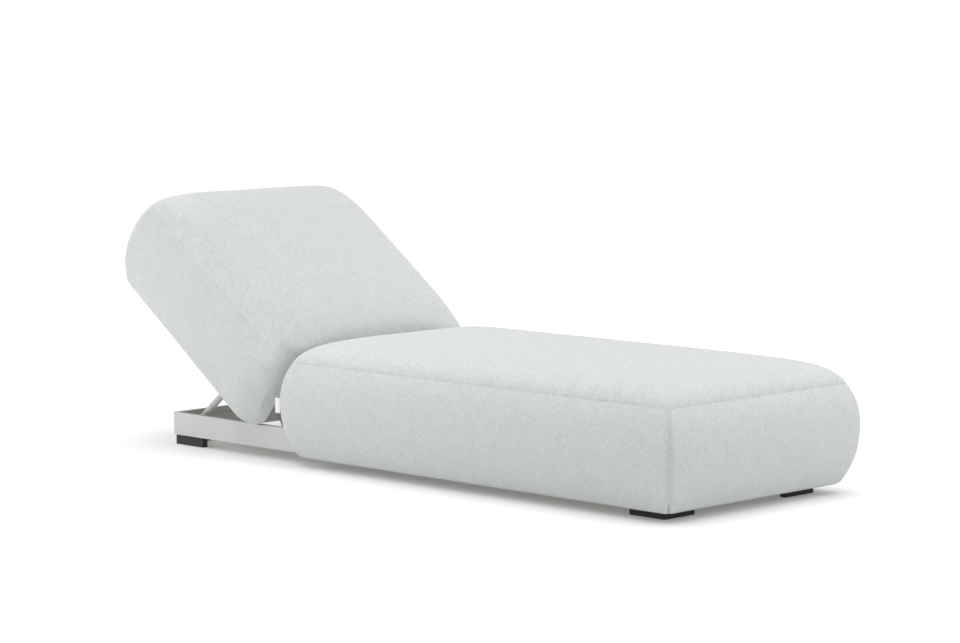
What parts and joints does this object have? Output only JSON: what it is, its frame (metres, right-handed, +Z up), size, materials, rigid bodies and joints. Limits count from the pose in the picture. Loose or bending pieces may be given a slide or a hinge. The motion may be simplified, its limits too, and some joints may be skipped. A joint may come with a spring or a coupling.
{
  "type": "relaxation lounger",
  "caption": "Low upholstered spa lounger: a boxed seat cushion on a rail frame, with a cushioned backrest that lifts on struts and slides along the frame.",
  "frame": {"origin": "on the floor, under the middle of the whole lounger's length and width with the backrest raised", "axes": "+X towards the foot end, +Y to the lying person's left, +Z up"},
  "size_m": [2.147, 0.771, 0.7309],
  "materials": {
    "frame_paint": "satin",
    "strut_paint": "satin",
    "guide_steel": "satin",
    "foot_plastic": "matte",
    "zinc_steel": "satin",
    "nylon": "matte",
    "slat_plywood": "satin",
    "cover_fabric": "matte",
    "foam": "matte",
    "tag_cloth": "matte"
  },
  "bodies": {
    "base_frame": {"side_rail_left": "frame_paint", "side_rail_right": "frame_paint", "head_rail": "frame_paint", "foot_rail": "frame_paint", "seat_crossbar_head": "frame_paint", "seat_crossbar_middle": "frame_paint", "seat_crossbar_foot": "frame_paint", "foot_gusset_head_left": "frame_paint", "foot_gusset_head_right": "frame_paint", "foot_gusset_foot_left": "frame_paint", "foot_gusset_foot_right": "frame_paint", "guide_rack_left": "guide_steel", "guide_rack_right": "guide_steel", "guide_keeper_left": "guide_steel", "guide_keeper_right": "guide_steel", "corner_foot_head_left": "foot_plastic", "corner_foot_head_right": "foot_plastic", "corner_foot_foot_left": "foot_plastic", "corner_foot_foot_right": "foot_plastic", "foot_screws": "zinc_steel", "seat_slat_screws": "zinc_steel", "strut_foot_stud_left": "zinc_steel", "strut_foot_stud_right": "zinc_steel", "strut_foot_nuts": "zinc_steel", "seat_slats": "slat_plywood", "seat_cover": "cover_fabric", "seat_core": "foam", "care_tag": "tag_cloth"},
    "lifting_strut": {"strut_tube_left": "strut_paint", "strut_tube_right": "strut_paint", "strut_cross_tube": "strut_paint", "strut_bushes": "nylon"},
    "backrest": {"back_side_tube_left": "frame_paint", "back_side_tube_right": "frame_paint", "back_cross_tube_head": "frame_paint", "back_cross_tube_middle": "frame_paint", "back_cross_tube_foot": "frame_paint", "hinge_plate_left": "frame_paint", "hinge_plate_right": "frame_paint", "tube_end_caps": "foot_plastic", "back_slat_screws": "zinc_steel", "strut_top_bolts": "zinc_steel", "strut_top_nuts": "zinc_steel", "slide_axle": "zinc_steel", "axle_sleeve_left": "nylon", "axle_sleeve_right": "nylon", "back_slats": "slat_plywood", "back_cover": "cover_fabric", "back_core": "foam"}
  },
  "joints": [
    {"name": "strut_hinge", "type": "hinge", "parent": "base_frame", "child": "lifting_strut", "pos_m": [-0.85782, 0, 0.058], "axis": [0, -1, 0], "range_deg": [-36.2, 20]},
    {"name": "backrest_hinge", "type": "hinge", "parent": "lifting_strut", "child": "backrest", "pos_m": [-0.6564, 0, 0.22463], "axis": [0, 1, 0], "range_deg": [-72.5, 40.1]}
  ],
  "couplings": [
    {"joint": "backrest_hinge", "follows": "strut_hinge", "ratio": 2}
  ]
}
